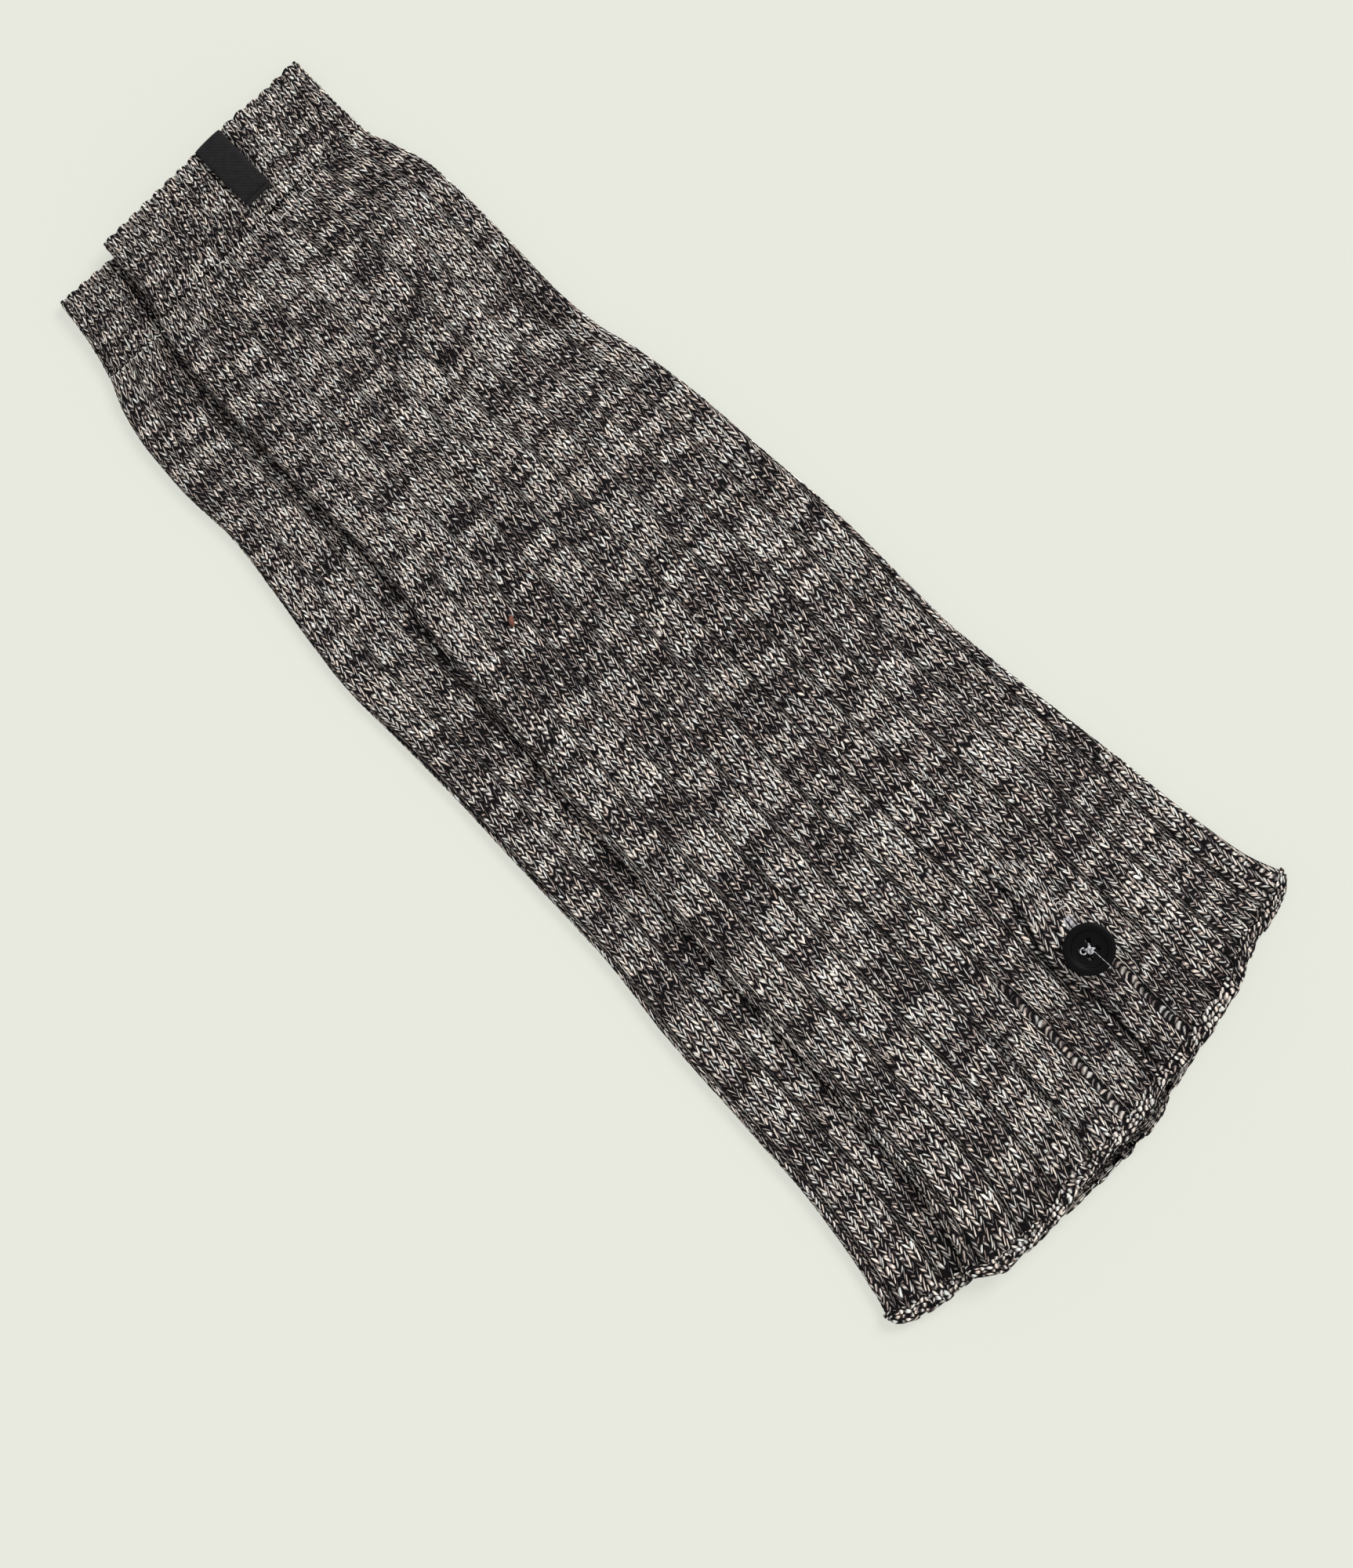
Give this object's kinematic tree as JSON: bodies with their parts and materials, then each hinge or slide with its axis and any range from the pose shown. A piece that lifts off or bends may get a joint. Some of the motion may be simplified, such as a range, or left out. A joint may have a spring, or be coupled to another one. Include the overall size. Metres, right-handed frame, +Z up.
{
  "type": "pair of leg warmers",
  "caption": "Pair of long ribbed marl-knit leg warmers laid flat, one on the other, open at both ends, the upper with a buttoned placket at its hem.",
  "frame": {"origin": "centre of the bounding box's base, on the surface that the pair lies on", "axes": "+Z up out of the surface; +Y along the leg warmers from the hems to the cuffs; +X across them, towards the upper one's side"},
  "size_m": [0.2, 0.4582, 0.0151],
  "materials": {
    "marl_knit_top": "ribbed knit of marled yarn in black, charcoal, taupe and off-white",
    "marl_knit_under": "ribbed knit of marled yarn in black, charcoal, taupe and off-white",
    "black_button": "satin black",
    "grey_thread": "pale grey sewing thread",
    "black_woven_label": "plain black woven tape"
  },
  "bodies": {
    "root": {"top_tube": "marl_knit_top", "top_cuff": "marl_knit_top", "top_hem": "marl_knit_top", "placket_flap": "marl_knit_top", "under_tube": "marl_knit_under", "under_cuff": "marl_knit_under", "under_hem": "marl_knit_under", "button": "black_button", "button_thread": "grey_thread", "label": "black_woven_label"}
  },
  "joints": []
}
